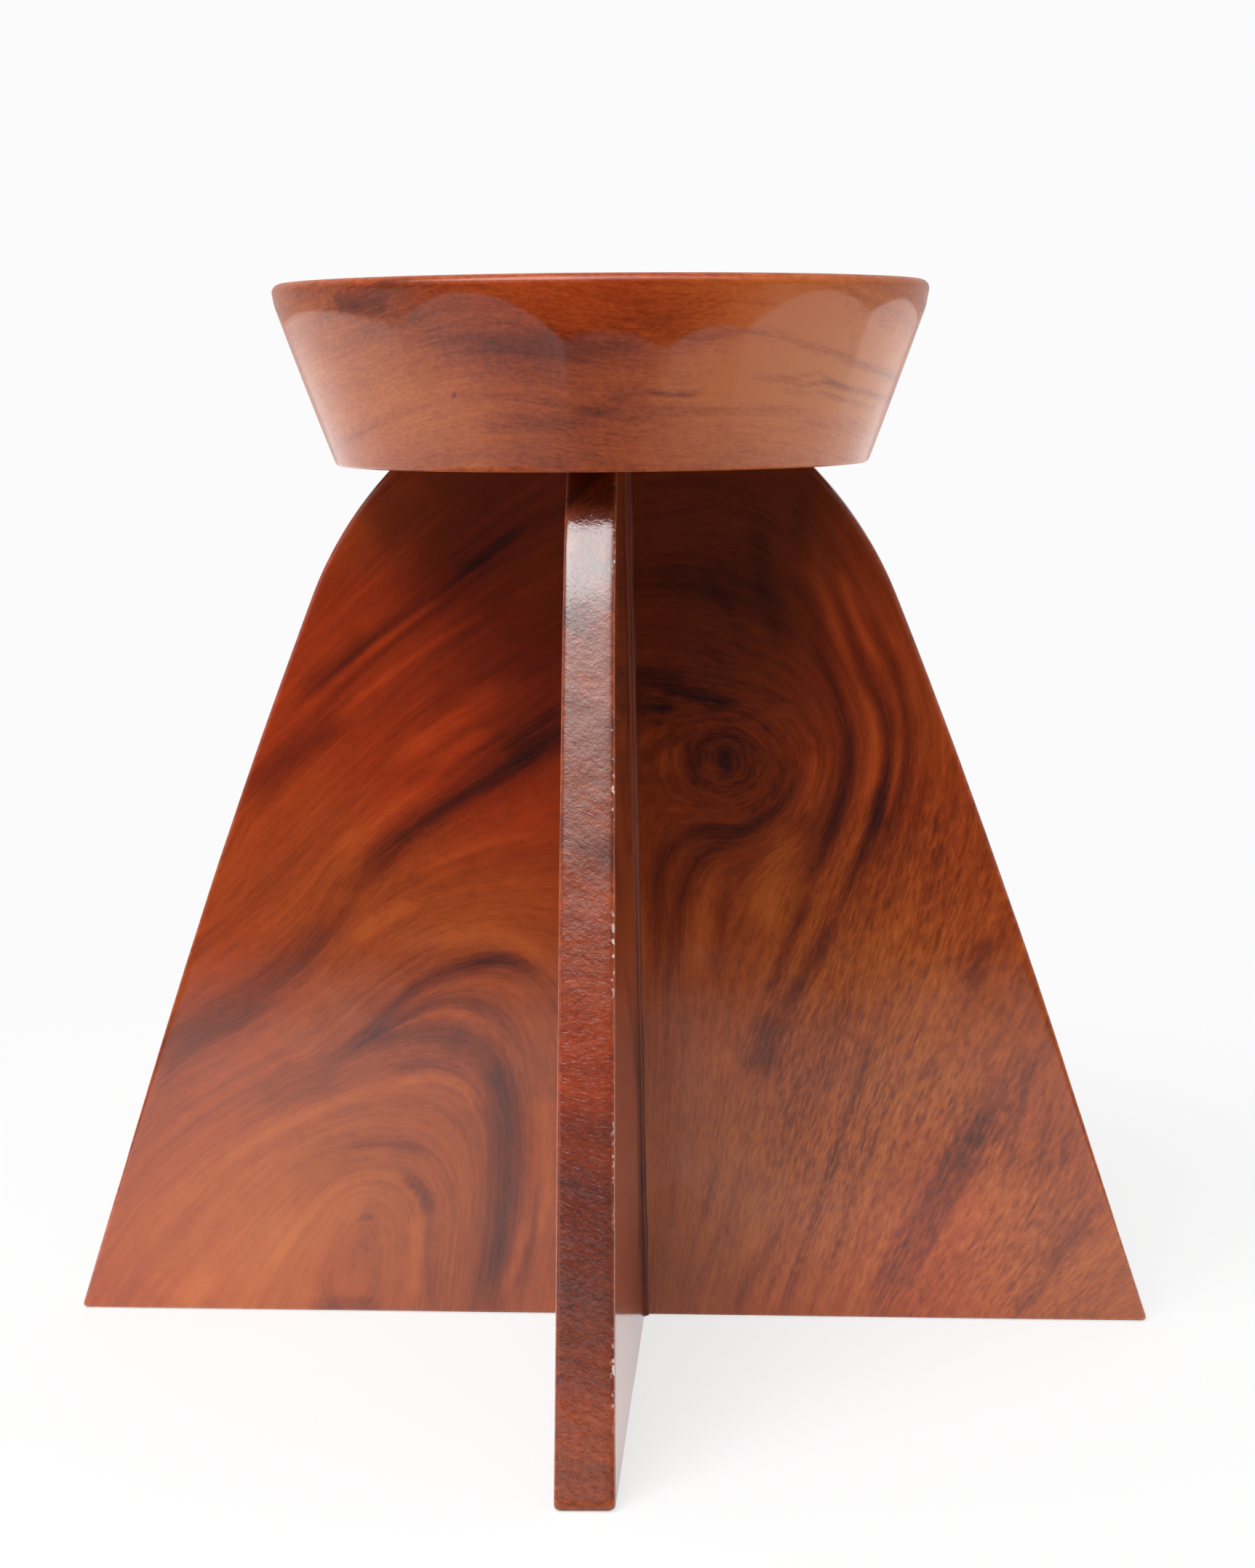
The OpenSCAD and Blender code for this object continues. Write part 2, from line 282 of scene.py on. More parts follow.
# Where the wood is darker (positive) or paler (negative) over a wide patch. The dark patches high on the
# crosswise plank's front, under the seat, are partly painted shade.
SHADES = (
    (-50, 350, 45, 0.2), (-40, 280, 45, 0.15), (50, 335, 60, 0.28), (45, 262, 45, 0.18),
    (85, 215, 45, 0.2), (145, 200, 40, 0.08), (-45, 60, 35, -0.03), (-165, 20, 55, -0.17),
    (-95, 30, 50, 0.09), (30, 60, 35, -0.14), (28, 160, 25, -0.15), (120, 15, 60, -0.16),
    (106, 62, 22, 0.06), (50, 168, 18, 0.05),
)
# Where short dark flecks lie thick in the grain.
SPECKLES = (
    (105, 80, 85, 0.9), (138, 52, 24, -0.45), (170, 30, 60, 0.6), (140, 200, 50, 0.6), (45, 250, 40, 0.6),
    (-90, 150, 140, 0.22),
)
# Painted glints: near-white flecks along the lengthwise plank's front right arris, where its varnish is
# chipped: height, reach and amount.
CHIP_GLINTS = (
    (340, 3, 1.0), (331, 4, 1.0), (268, 5, 0.9), (248, 12, 0.7), (190, 14, 0.8), (120, 20, 0.3),
    (45, 12, 0.7),
)
# How much darker the lengthwise plank's edge grain is, and darker or paler bands across it:
# height, reach and amount.
EDGE_GRAIN_SHADE = 0.12
# The band highest up, at 354 mm, is painted shade under the seat.
EDGE_SHADES = (
    (354, 9, 0.15), (325, 24, 0.3), (260, 17, 0.13), (234, 6, -0.13), (219, 9, 0.11), (172, 28, -0.05),
    (128, 9, 0.16), (108, 12, 0.24), (84, 16, 0.2), (60, 26, 0.1), (33, 10, -0.04), (23, 8, -0.06),
)
# Millimetres along the seat's side for each degree round it.
SEAT_ARC = 2.2
# Streaks on the seat's front: strength, half width, and points in degrees to the right of the
# front and millimetres above the seat's underside.
SEAT_STREAKS = (
    (0.55, 2.0, (18, 49), (26, 52), (32, 52), (37, 50), (42, 47), (48, 45), (55, 41), (63, 38), (80, 34)),
    (0.5, 1.1, (29, 36), (36, 36), (41, 35), (46, 37), (50, 34), (57, 30)),
    (0.6, 1.2, (28, 33), (38, 34), (43, 32), (48, 33), (55, 31), (63, 29), (82, 25)),
    (0.45, 1.1, (36, 31), (44, 29), (49, 29), (56, 26), (72, 22)),
    (0.6, 0.8, (12, 31), (16, 29), (22, 29)),
    (0.3, 1.8, (10, 24), (24, 23), (38, 23), (52, 21)),
    (0.3, 2.2, (44, 17), (58, 17), (74, 13)),
    (0.4, 2.2, (52, 50), (55, 43)),
    (1.2, 0.7, (-23.6, 29.5), (-23.2, 29.5)),
    (0.4, 3.5, (-46, 66), (-38, 62), (-32, 64)),
    (0.3, 5.0, (-30, 52), (-14, 49), (4, 46), (14, 42)),
    (0.25, 4.0, (-20, 18), (0, 21), (12, 34)),
)
# Degrees and millimetres as above: pale and dark patches, then redder and yellower ones.
SEAT_SHADES = (
    (55, 30, 34, -0.42), (-60, 30, 28, -0.17), (-10, 42, 14, 0.15), (6, 20, 11, 0.14),
    (-30, 34, 14, -0.05), (22, 26, 12, -0.06), (36, 68, 18, -0.28), (-34, 71, 18, 0.22),
    (-55, 70, 9, 0.08), (15, 57, 9, 0.2), (30, 38, 13, -0.15), (2, 4, 12, 0.06), (-21, 15, 11, -0.08),
)
SEAT_TINTS = (
    (-4, 66, 26, 0.6), (55, 30, 34, -0.5), (34, 68, 18, 0.25), (-60, 25, 34, -0.4),
)

# Spacing of the points that growth lines and streaks are turned into, in millimetres.
GROWTH_STEP = 12
STREAK_STEP = 5
# How loosely the growth surface keeps to its lines.
GROWTH_SLACK = 60
# Places worked out at a time, to spare memory.
BATCH = 4000


def smooth_path(points, step):
    """Points spaced about step apart on a smooth curve through the given ones."""
    if len(points) == 1:
        return np.array(points, float)
    p = np.array([points[0], *points, points[-1]], float)
    out = []
    for a, b, c, d in zip(p, p[1:], p[2:], p[3:]):
        count = max(1, round(float(np.hypot(*(c - b))) / step))
        t = np.arange(count)[:, None] / count
        rise = (c - a) * t
        bow = (2 * a - 5 * b + 4 * c - d) * t**2
        twist = (3 * b - a - 3 * c + d) * t**3
        out.append(0.5 * (2 * b + rise + bow + twist))
    out.append(p[-1:])
    return np.concatenate(out)


def spline_kernel(places, knots):
    """Pull of each knot of a thin-plate spline on each place."""
    gap = ((places[:, None] - knots[None]) ** 2).sum(-1)
    return gap * np.log(gap + 1e-9)


def growth_field(lines, places):
    """Level across the grain at each place: the smoothest surface near the level of every line."""
    paths = [smooth_path(points, GROWTH_STEP) for _, *points in lines]
    levels = [np.full(len(path), float(line[0])) for path, line in zip(paths, lines)]
    knots = np.concatenate(paths)
    size = len(knots)
    system = np.zeros((size + 3, size + 3))
    system[:size, :size] = spline_kernel(knots, knots) + GROWTH_SLACK * np.eye(size)
    system[:size, size] = system[size, :size] = 1
    system[:size, size + 1:] = knots
    system[size + 1:, :size] = knots.T
    solved = np.linalg.solve(system, np.concatenate([*levels, np.zeros(3)]))
    field = np.empty(len(places))
    for start in range(0, len(places), BATCH):
        part = places[start:start + BATCH]
        bent = spline_kernel(part, knots) @ solved[:size]
        field[start:start + BATCH] = bent + solved[size] + part @ solved[size + 1:]
    return field


def streak_field(streaks, places):
    """Darkness of all the streaks at each place. A streak fades towards both of its ends."""
    total = np.zeros(len(places))
    for strength, width, *points in streaks:
        path = smooth_path(points, STREAK_STEP)
        near = np.full(len(places), np.inf)
        fade = np.zeros(len(places))
        for k, (a, b) in enumerate(zip(path, path[1:])):
            run = b - a
            t = np.clip(((places - a) @ run) / (run @ run), 0, 1)
            gap = np.hypot(*(places - a - t[:, None] * run).T)
            closer = gap < near
            near = np.where(closer, gap, near)
            share = (k + t) / (len(path) - 1)
            fade = np.where(closer, np.minimum(1, 4 * np.minimum(share, 1 - share) + 0.25), fade)
        total += strength * fade * np.exp(-((near / width) ** 2))
    return total


# ---------- mesh helpers

# Edges sharper than this stay sharp.
SMOOTH_ANGLE = math.radians(40)


def new_object(name, data):
    obj = bpy.data.objects.new(name, data)
    bpy.context.scene.collection.objects.link(obj)
    return obj


def smooth_by_angle(obj):
    mesh = obj.data
    mesh.polygons.foreach_set("use_smooth", [True] * len(mesh.polygons))
    mesh.set_sharp_from_angle(angle=SMOOTH_ANGLE)


def loft(name, rings):
    """Closed solid from rings of equally many points, with a flat face on each end."""
    count = len(rings[0])
    verts = [tuple(p) for ring in rings for p in ring]
    faces = []
    for k in range(len(rings) - 1):
        low, high = k * count, (k + 1) * count
        for i in range(count):
            j = (i + 1) % count
            faces.append((low + i, low + j, high + j, high + i))
    faces.append(tuple(reversed(range(count))))
    faces.append(tuple(range(len(verts) - count, len(verts))))
    mesh = bpy.data.meshes.new(name)
    mesh.from_pydata(verts, [], faces)
    return new_object(name, mesh)


def cutter(bm, place):
    """Object from a finished bmesh, put in its place."""
    bmesh.ops.transform(bm, matrix=place, verts=bm.verts)
    mesh = bpy.data.meshes.new("cutter")
    bm.to_mesh(mesh)
    bm.free()
    return new_object("cutter", mesh)


def block(low, high, place):
    """Box between two corners, put in its place."""
    bm = bmesh.new()
    bmesh.ops.create_cube(bm, size=1)
    for v in bm.verts:
        v.co = Vector(a + (b - a) * (c + 0.5) for a, b, c in zip(low, high, v.co))
    return cutter(bm, place)


def dowel_hole(place, x):
    """Upright round bar on a plank's centre line, to cut a dowel's hole with."""
    radius = BORE_D / 2
    bm = bmesh.new()
    bmesh.ops.create_cone(bm, cap_ends=True, segments=32, radius1=radius, radius2=radius, depth=BORE_L)
    bmesh.ops.translate(bm, vec=(x, 0, TENON_TOP), verts=bm.verts)
    return cutter(bm, place)


def combine(obj, other, operation):
    """Join another solid to this one, or cut it away, and drop the other."""
    mod = obj.modifiers.new("combine", "BOOLEAN")
    mod.operation = operation
    mod.solver = "EXACT"
    mod.object = other
    made = bpy.data.meshes.new_from_object(obj.evaluated_get(bpy.context.evaluated_depsgraph_get()))
    obj.modifiers.clear()
    obj.data = made
    bpy.data.objects.remove(other)


# ---------- planks

FACE_COLUMNS = 150
EDGE_COLUMNS = 6
CORNER_STEPS = 4
FOOT_STEPS = 3
PLANK_ROWS = 126

# Depth of the hollows and of the small marks that hand tools left, and how close to the middle
# planes they stop.
HOLLOW_DEPTH = 0.35 * MM
TOOL_DEPTH = 0.12 * MM
STILL_X = 60 * MM
STILL_Y = 5 * MM

# How far cutters reach past what they cut, the size of those that cut level, and how far a tenon's
# solid is sunk into its plank.
CUT_SPARE = 10 * MM
CUT_REACH = 400 * MM
CUT_DEPTH = 100 * MM
TENON_ROOT = 1 * MM

BEAD_R = 1.6 * MM
BEAD_SINK = 0.8 * MM
BEAD_ROWS = 46
BEAD_STEPS = 5


def half_thickness(z):
    """Half the thickness of a plank at height z."""
    return (FOOT_T + (TOP_T - FOOT_T) * z / LEG_H) / 2


def half_width(z):
    """Half the width of a plank at height z: a straight foot, a long curve and a shoulder."""
    if z <= STRAIGHT_H:
        return FOOT_HALF - z * math.tan(FOOT_SLOPE)
    straight_half = FOOT_HALF - STRAIGHT_H * math.tan(FOOT_SLOPE)
    sweep_x = straight_half - SWEEP_R * math.cos(FOOT_SLOPE)
    sweep_z = STRAIGHT_H - SWEEP_R * math.sin(FOOT_SLOPE)
    if z <= SHOULDER_H:
        return sweep_x + math.sqrt(SWEEP_R**2 - (z - sweep_z) ** 2)
    slope = math.asin((SHOULDER_H - sweep_z) / SWEEP_R)
    shoulder_x = sweep_x + (SWEEP_R - SHOULDER_R) * math.cos(slope)
    shoulder_z = sweep_z + (SWEEP_R - SHOULDER_R) * math.sin(slope)
    return shoulder_x + math.sqrt(SHOULDER_R**2 - (z - shoulder_z) ** 2)


def plank_ring(z, inset):
    """Rounded rectangle round the plank at height z, drawn in by inset on every side."""
    w = half_width(z) - inset
    t = half_thickness(z) - inset
    r = EDGE_ROUND
    face = [(w - r) * (2 * i / FACE_COLUMNS - 1) for i in range(1, FACE_COLUMNS)]
    edge = [(t - r) * (2 * i / EDGE_COLUMNS - 1) for i in range(1, EDGE_COLUMNS)]
    sides = (
        [(x, -t) for x in face],
        [(w, y) for y in edge],
        [(-x, t) for x in face],
        [(-w, -y) for y in edge],
    )
    corners = ((1, -1), (1, 1), (-1, 1), (-1, -1))
    ring = []
    for turn, (side, (sx, sy)) in enumerate(zip(sides, corners)):
        ring += side
        for k in range(CORNER_STEPS + 1):
            a = math.radians(90 * (turn - 1 + k / CORNER_STEPS))
            ring.append((sx * (w - r) + r * math.cos(a), sy * (t - r) + r * math.sin(a)))
    return [(x, y, z) for x, y in ring]


def uneven(p, seed):
    """Where a point of a plank's surface really is: the hand tools left it slightly hollow in places."""
    at = Vector((p.x * 9 + seed, p.y * 9, p.z * 9))
    hollow = HOLLOW_DEPTH * max(0, noise.noise(at) + 0.25)
    tool = TOOL_DEPTH * max(0, noise.noise(at * 4.5))
    moved = p.copy()
    if abs(p.y) > STILL_Y:
        moved.y -= math.copysign(hollow + tool, p.y)
    if abs(p.x) > STILL_X:
        moved.x -= math.copysign(hollow + tool, p.x)
    return moved


def cut_between(obj, low, high):
    """Cut away everything between two heights."""
    cut = block((-CUT_REACH, -CUT_REACH, low), (CUT_REACH, CUT_REACH, high), UNMOVED)
    combine(obj, cut, "DIFFERENCE")


def plank_blank(name, place, seed):
    """Plank along X with rounded edges and a tenon on top, put in its place and cut level."""
    rings = []
    for k in range(FOOT_STEPS + 1):
        a = math.radians(90 * k / FOOT_STEPS)
        rings.append(plank_ring(EDGE_ROUND * (1 - math.cos(a)), EDGE_ROUND * (1 - math.sin(a))))
    for k in range(1, PLANK_ROWS + 1):
        rings.append(plank_ring(EDGE_ROUND + (LEG_H - EDGE_ROUND) * k / PLANK_ROWS, 0))
    obj = loft(name, rings)
    for v in obj.data.vertices:
        v.co = uneven(v.co, seed)
    obj.data.transform(place)
    cut_between(obj, -CUT_DEPTH, 0)
    cut_between(obj, LEG_H, LEG_H + CUT_DEPTH)
    tenon_half = half_width(LEG_H) - TENON_INSET
    low = (-tenon_half, -TOP_T / 2, LEG_H - TENON_ROOT)
    high = (tenon_half, TOP_T / 2, TENON_TOP)
    combine(obj, block(low, high, place), "UNION")
    return obj


def slot_cutter(place, low, high):
    """Space that the other plank takes up, between two heights, with the joint's gap."""
    low_half = half_thickness(low) + JOINT_GAP
    high_half = half_thickness(min(high, LEG_H)) + JOINT_GAP
    reach = 2 * FOOT_T
    obj = block((-reach, -FOOT_T, low), (reach, FOOT_T, high), UNMOVED)
    for v in obj.data.vertices:
        half = low_half if v.co.z < (low + high) / 2 else high_half
        v.co.y = math.copysign(half, v.co.y)
    obj.data.transform(place)
    return obj


def bore(obj, place):
    """Cut the dowel holes of one plank."""
    for reach in DOWEL_REACHES:
        for x in (-reach, reach):
            combine(obj, dowel_hole(place, x), "DIFFERENCE")


def plank_across():
    obj = plank_blank("across_plank", ACROSS_PLACE, seed=3)
    combine(obj, slot_cutter(ALONG_PLACE, -CUT_SPARE, LAP_H + JOINT_GAP), "DIFFERENCE")
    bore(obj, ACROSS_PLACE)
    return obj


def plank_along():
    obj = plank_blank("along_plank", ALONG_PLACE, seed=11)
    combine(obj, slot_cutter(ACROSS_PLACE, LAP_H, TENON_TOP + CUT_SPARE), "DIFFERENCE")
    bore(obj, ALONG_PLACE)
    return obj


def corner_bead(name, side_x, side_y):
    """Varnish and glue that filled the inner corner between the two planks."""
    rings = []
    for k in range(BEAD_ROWS + 1):
        z = LEG_H * k / BEAD_ROWS
        t = half_thickness(z)
        corner = ALONG_PLACE @ Vector((side_y * t, -side_x * t, z))
        corner.y = side_y * t
        r = BEAD_R * (1 + 0.35 * noise.noise(Vector((side_x, side_y, z * 40))))
        ring = [(-BEAD_SINK, -BEAD_SINK), (r, -BEAD_SINK), (r, 0)]
        for i in range(1, BEAD_STEPS):
            a = math.pi / 2 * i / BEAD_STEPS
            ring.append((r * (1 - math.sin(a)), r * (1 - math.cos(a))))
        ring += [(0, r), (-BEAD_SINK, r)]
        if side_x * side_y < 0:
            ring.reverse()
        rings.append([(corner.x + side_x * a, corner.y + side_y * b, z) for a, b in ring])
    return loft(name, rings)


# ---------- seat

# Lobes cut by hand along the rim: middle in degrees from the front, height of the lobe's top
# above the seat's underside in millimetres, and half width in degrees.
RIM_LOBES = (
    (-54, 62, 28), (-18, 67.5, 13), (5, 53, 12), (24, 54, 11), (44, 67, 14), (66, 65, 15), (90, 63, 18),
    (118, 66, 18), (146, 58, 16), (172, 64, 18), (200, 56, 15), (224, 65, 17), (250, 60, 16), (276, 66, 17),
)
# How far a lobe drops at its ends, the lowest height between lobes, and the height at which the lip
# stands upright, all in millimetres.
LOBE_DROP = 12
KNEE_MIN = 47
LIP_TOP = 70
LIP_SLOPE = math.radians(11)
LIP_INSET = 0.2 * MM
KNEE_R = 14 * MM
# Radius and height of the point that the sloping side bends towards.
SIDE_MIDDLE = (122.7 * MM, 33 * MM)
# Where the top falls into the dish: how far in and how deep, its rounding, and where the dish starts.
DISH_FALL = (10 * MM, 2.4 * MM)
DISH_ROUND = 6 * MM
DISH_START = 3 * MM
# Depth of the hollows that hand tools left. The underside stays flat up to this height.
SEAT_HOLLOW = 0.5 * MM
FLAT_UNDER = 1 * MM
HOUSING_SPARE = 5 * MM

UNDER_RINGS = 8
SIDE_RINGS = 50
LIP_RINGS = 10
RIM_STEPS = 6
DISH_RINGS = 26
SEAT_AROUND = 600


def knee_height(degrees):
    """Height in millimetres at which the sloping side turns up into the lip."""
    best = KNEE_MIN
    for middle, high, half in RIM_LOBES:
        away = (degrees - middle + 180) % 360 - 180
        best = max(best, high - LOBE_DROP * (away / half) ** 2)
    return best


def corner_arc(before, corner, after, radius, steps):
    """Points of the arc that rounds one corner of an outline."""
    corner = Vector(corner)
    a = (Vector(before) - corner).normalized()
    b = (Vector(after) - corner).normalized()
    half = a.angle(b) / 2
    run = radius / math.tan(half)
    centre = corner + (a + b).normalized() * (radius / math.sin(half))
    start = corner + a * run - centre
    end = corner + b * run - centre
    turn = math.copysign(math.pi - 2 * half, start.x * end.y - start.y * end.x)
    return [centre + Matrix.Rotation(turn * k / steps, 2) @ start for k in range(steps + 1)]


def bend(a, control, b, count):
    """Points of a slow bend between two ends, without the ends."""
    return [a.lerp(control, k / count).lerp(control.lerp(b, k / count), k / count) for k in range(1, count)]


def seat_section(degrees):
    """Radius and height of the seat's section, from the middle of the underside to the dish."""
    knee_z = knee_height(degrees)
    lip = SEAT_LIP_R - LIP_INSET
    knee = (lip - (LIP_TOP - knee_z) * MM * math.tan(LIP_SLOPE), knee_z * MM)
    turn = (lip, LIP_TOP * MM)
    foot = (SEAT_FOOT_R, 0)
    points = [Vector((SEAT_FOOT_R * k / UNDER_RINGS, 0)) for k in range(1, UNDER_RINGS)]
    points += corner_arc((0, 0), foot, knee, UNDER_ROUND, CORNER_STEPS)
    knee_arc = corner_arc(foot, knee, turn, KNEE_R, CORNER_STEPS)
    points += bend(points[-1], Vector(SIDE_MIDDLE), knee_arc[0], SIDE_RINGS) + knee_arc
    dish_edge = (DISH_R, SEAT_H)
    rim = corner_arc(turn, (lip, SEAT_H), dish_edge, RIM_ROUND * 0.8, RIM_STEPS)
    points += [knee_arc[-1].lerp(rim[0], k / LIP_RINGS) for k in range(1, LIP_RINGS)] + rim
    fallen = (DISH_R - DISH_FALL[0], SEAT_H - DISH_FALL[1])
    points += corner_arc(rim[-1], dish_edge, fallen, DISH_ROUND, CORNER_STEPS)
    ball_r = (DISH_R**2 + DISH_DEPTH**2) / (2 * DISH_DEPTH)
    for k in range(1, DISH_RINGS):
        r = (DISH_R - DISH_START) * (1 - k / DISH_RINGS)
        points.append(Vector((r, SEAT_H - DISH_DEPTH + ball_r - math.sqrt(ball_r**2 - r**2))))
    return points


def cut_housing(obj, place):
    """Cut the housing of one plank's tenon into the seat."""
    half_l = half_width(LEG_H) - TENON_INSET + JOINT_GAP
    half_t = TOP_T / 2 + JOINT_GAP
    low = (-half_l, -half_t, LEG_H - HOUSING_SPARE)
    high = (half_l, half_t, TENON_TOP + JOINT_GAP)
    combine(obj, block(low, high, place), "DIFFERENCE")


def seat():
    """Seat with its lobed rim and dished top, housed and bored for both planks."""
    sections = [seat_section(360 * i / SEAT_AROUND) for i in range(SEAT_AROUND)]
    rings = []
    for k in range(len(sections[0])):
        ring = []
        for i, section in enumerate(sections):
            a = 2 * math.pi * i / SEAT_AROUND - math.pi / 2
            ring.append((section[k].x * math.cos(a), section[k].x * math.sin(a), LEG_H + section[k].y))
        rings.append(ring)
    obj = loft("stool_seat", rings)
    for v in obj.data.vertices:
        if v.co.z > LEG_H + FLAT_UNDER:
            side = Vector((v.co.x, v.co.y, 0)).normalized()
            v.co -= side * SEAT_HOLLOW * max(0, noise.noise(v.co * 16) + 0.2)
    for place in (ACROSS_PLACE, ALONG_PLACE):
        cut_housing(obj, place)
        bore(obj, place)
    return obj


# ---------- figure on the meshes

def store(obj, **layers):
    """Keep numbers for every vertex of a piece, under the names that its material reads."""
    for name, values in layers.items():
        layer = obj.data.attributes.new(name, "FLOAT", "POINT")
        layer.data.foreach_set("value", np.asarray(values, dtype=np.float32))


def vertex_places(obj, place):
    """Vertices in the piece's own axes, in millimetres."""
    flat = np.empty(3 * len(obj.data.vertices))
    obj.data.vertices.foreach_get("co", flat)
    turned = np.array(place.inverted())
    return (flat.reshape(-1, 3) @ turned[:3, :3].T + turned[:3, 3]) / MM


def vertex_normals(obj, place):
    """Vertex normals in the piece's own axes."""
    flat = np.empty(3 * len(obj.data.vertices))
    obj.data.vertices.foreach_get("normal", flat)
    return flat.reshape(-1, 3) @ np.array(place.to_3x3())


def blots(patches, places):
    """Sum of round soft patches: middle, reach and amount."""
    total = np.zeros(len(places))
    for *middle, reach, amount in patches:
        total += amount * np.exp(-((places - middle) ** 2).sum(-1) / reach**2)
    return total


def edge_marks(p, normals):
    """Bands across the lengthwise plank's edges, with painted shade under the seat among them, and painted
    glints where the varnish of its front right arris is chipped.
    """
    bands = (EDGE_GRAIN_SHADE + blots(EDGE_SHADES, p[:, 2:])) * (1 - normals[:, 1] ** 2)
    on_arris = np.clip(-normals[:, 0], 0, 1) * np.clip(-normals[:, 1], 0, 1) * 2
    height = sum(amount * np.exp(-((p[:, 2] - z) / reach) ** 2) for z, reach, amount in CHIP_GLINTS)
    return bands, np.clip(1.3 * on_arris**4 * height, 0, 1)


def figure_plank(obj, place, upside_down, slant, edge_marked):
    """Draw the growth lines and streaks through a plank, slanting through its thickness."""
    p = vertex_places(obj, place)
    normals = vertex_normals(obj, place)
    deep = p[:, 1] + FOOT_T / 2 / MM
    height = LEG_H / MM - p[:, 2] if upside_down else p[:, 2]
    flat = np.stack([p[:, 0] + slant[0] * deep, height + slant[1] * deep], -1)
    squareness = normals[:, 1] ** 2
    bands, chips = edge_marks(p, normals) if edge_marked else np.zeros((2, len(p)))
    store(
        obj,
        growth=growth_field(ARCH_LINES + BAND_LINES + HOOK_LINES + EYE_LINES, flat),
        dark=streak_field(LEFT_STREAKS + RIGHT_STREAKS, flat),
        # Darker and paler patches of wood, partly painted shade under the seat, and the edge bands.
        shade=blots(SHADES, flat) + bands,
        redness=blots(TINTS, flat),
        speckle=blots(SPECKLES, flat),
        worn=4 * squareness * (1 - squareness),
        peel=1 - squareness,
        chips=chips,
    )


def figure_seat(obj):
    """Nearly level growth lines that sink towards both sides, with a few streaks on the front."""
    p = vertex_places(obj, UNMOVED)
    z = p[:, 2] - LEG_H / MM
    growth = z + 0.2 * p[:, 1] + 3 * np.sin(p[:, 0] / 19 + 0.6)
    growth += 3 * np.sin(p[:, 0] / 43 + p[:, 1] / 60 + 1.1)
    turn = np.degrees(np.arctan2(p[:, 0], -p[:, 1]))
    away = np.hypot(p[:, 0], p[:, 1])
    arcs = []
    for strength, width, *points in SEAT_STREAKS:
        arcs.append((strength, width, *[(SEAT_ARC * angle, high) for angle, high in points]))
    unrolled = np.stack([turn * SEAT_ARC, z], -1)
    seen_round = np.stack([turn, z], -1)
    # Streaks and patches keep off the top and the underside.
    up = vertex_normals(obj, UNMOVED)[:, 2]
    on_side = np.clip((0.9 - up) / 0.5, 0, 1) * np.clip((away - 100) / 8, 0, 1)
    rim = np.hypot(away - SEAT_LIP_R / MM, z - SEAT_H / MM)
    foot = np.hypot(away - SEAT_FOOT_R / MM, z)
    store(
        obj,
        growth=growth,
        dark=streak_field(arcs, unrolled) * on_side,
        shade=blots(SEAT_SHADES, seen_round) * on_side,
        redness=blots(SEAT_TINTS, seen_round) * on_side,
        speckle=np.full(len(p), 0.24),
        worn=np.clip(1 - np.minimum(rim, foot) / 4, 0, 1),
        peel=np.full(len(p), 0.5),
        chips=np.zeros(len(p)),
    )


def figure_bead(obj):
    """A bead of varnish has no figure, only a slightly dark tone."""
    none = np.zeros(len(obj.data.vertices))
    blank = ("growth", "dark", "redness", "speckle", "worn", "peel", "chips")
    store(obj, **dict.fromkeys(blank, none), shade=none + 0.12)


# ---------- materials

class Shader:
    """Short calls for building a tree of shader nodes."""

    def __init__(self, tree):
        self.tree = tree

    def put(self, socket, value):
        """Link an input to another node's output, or set it to a constant."""
        if isinstance(value, bpy.types.NodeSocket):
            self.tree.links.new(value, socket)
        else:
            socket.default_value = value

    def node(self, kind, inputs=(), **settings):
        node = self.tree.nodes.new(kind)
        for key, value in settings.items():
            setattr(node, key, value)
        for key, value in dict(inputs).items():
            self.put(node.inputs[key], value)
        return node

    def math(self, operation, a, b=0.0, c=0.0, clamp=False):
        node = self.node("ShaderNodeMath", operation=operation, use_clamp=clamp)
        for socket, value in zip(node.inputs, (a, b, c)):
            self.put(socket, value)
        return node.outputs[0]

    def times(self, a, b):
        return self.math("MULTIPLY", a, b)

    def attribute(self, name):
        return self.node("ShaderNodeAttribute", attribute_name=name).outputs["Fac"]

    def position(self):
        return self.node("ShaderNodeTexCoord").outputs["Object"]

    def noise(self, scale, detail=2.0, roughness=0.5, along=None):
        """Noise in space. With along, it also changes quickly along that value."""
        place = {0: self.position(), "Scale": scale}
        stretched = self.node("ShaderNodeVectorMath", place, operation="SCALE").outputs[0]
        inputs = {"Vector": stretched, "Scale": 1.0, "Detail": detail, "Roughness": roughness}
        if along is None:
            return self.node("ShaderNodeTexNoise", inputs).outputs["Fac"]
        inputs["W"] = along
        return self.node("ShaderNodeTexNoise", inputs, noise_dimensions="4D").outputs["Fac"]

    def fade(self, value, low, high):
        """Smooth step from 0 at the low value to 1 at the high one."""
        inputs = {"Value": value, "From Min": low, "From Max": high}
        return self.node("ShaderNodeMapRange", inputs, interpolation_type="SMOOTHSTEP").outputs[0]

    def swing(self, value, amount):
        """Noise value turned into a swing of plus or minus amount."""
        return self.times(self.math("SUBTRACT", value, 0.5), 2 * amount)

    def add(self, *values):
        total = values[0]
        for value in values[1:]:
            total = self.math("ADD", total, value)
        return total

    def ramp(self, value, stops):
        node = self.node("ShaderNodeValToRGB", {"Fac": value})
        line = node.color_ramp.elements
        while len(line) < len(stops):
            line.new(0.5)
        for mark, (place, colour) in zip(line, stops):
            mark.position = place
            mark.color = (*colour, 1)
        return node.outputs["Color"]

    def mix(self, factor, a, b):
        inputs = {0: factor, 6: a, 7: b}
        return self.node("ShaderNodeMix", inputs, data_type="RGBA").outputs[2]

    def bump(self, height, distance, strength=1.0):
        inputs = {"Height": height, "Distance": distance, "Strength": strength}
        return self.node("ShaderNodeBump", inputs).outputs[0]


